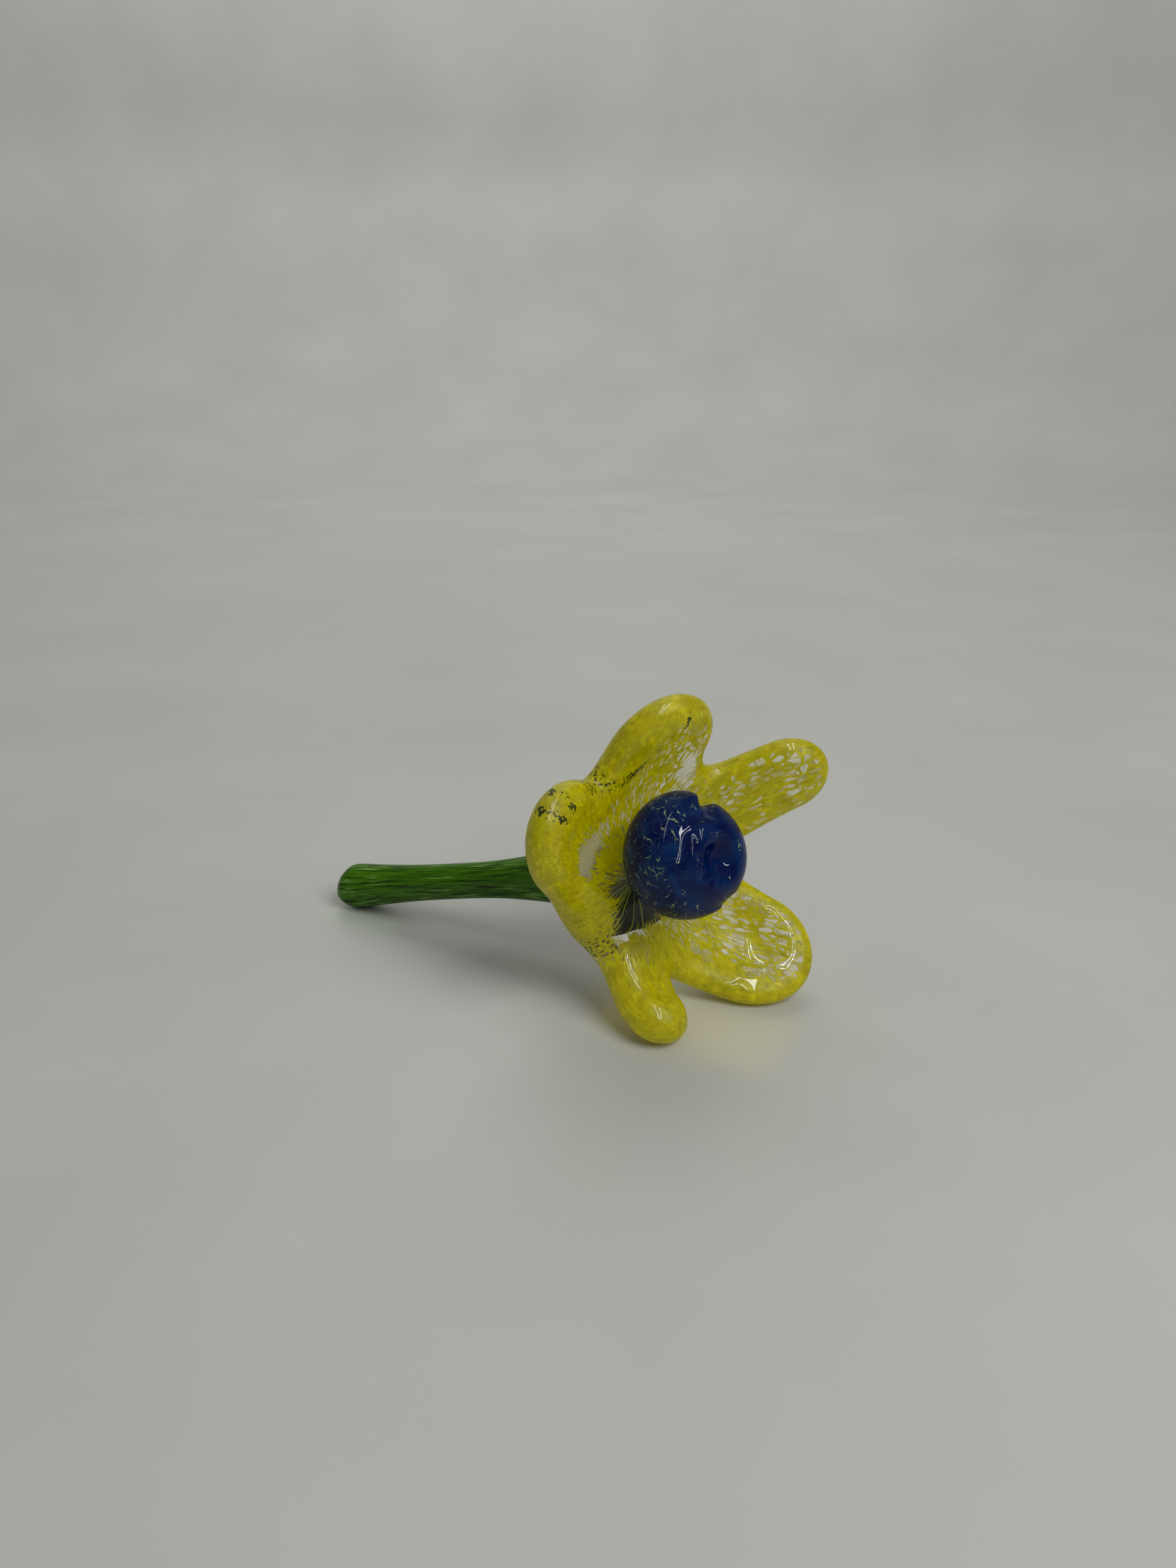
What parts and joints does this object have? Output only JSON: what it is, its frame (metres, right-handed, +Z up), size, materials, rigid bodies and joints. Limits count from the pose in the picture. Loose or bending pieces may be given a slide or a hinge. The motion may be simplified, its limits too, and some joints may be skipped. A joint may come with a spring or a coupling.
{
  "type": "glass flower",
  "caption": "Hand-made glass flower lying on its side: green stem with a knobbed end, open yellow bloom of thick rounded petals, and a blue bulb with a folded mouth in its bowl.",
  "frame": {"origin": "on the table, under the middle of the bounding box of the lying flower", "axes": "+X along the stem from its cut end towards the bloom, +Z up, +Y to the left when looking along +X"},
  "size_m": [0.1711, 0.0846, 0.0993],
  "materials": {
    "green_glass": "clear glass over lengthwise dark and light green streaks, fire polished",
    "yellow_glass": "thick clear glass with a net of opaque yellow chips that lies closed on the edges, fire polished",
    "blue_glass": "dense navy glass with short pale threads, fire polished"
  },
  "bodies": {
    "root": {"stem": "green_glass", "bloom": "yellow_glass", "bulb": "blue_glass"}
  },
  "joints": []
}
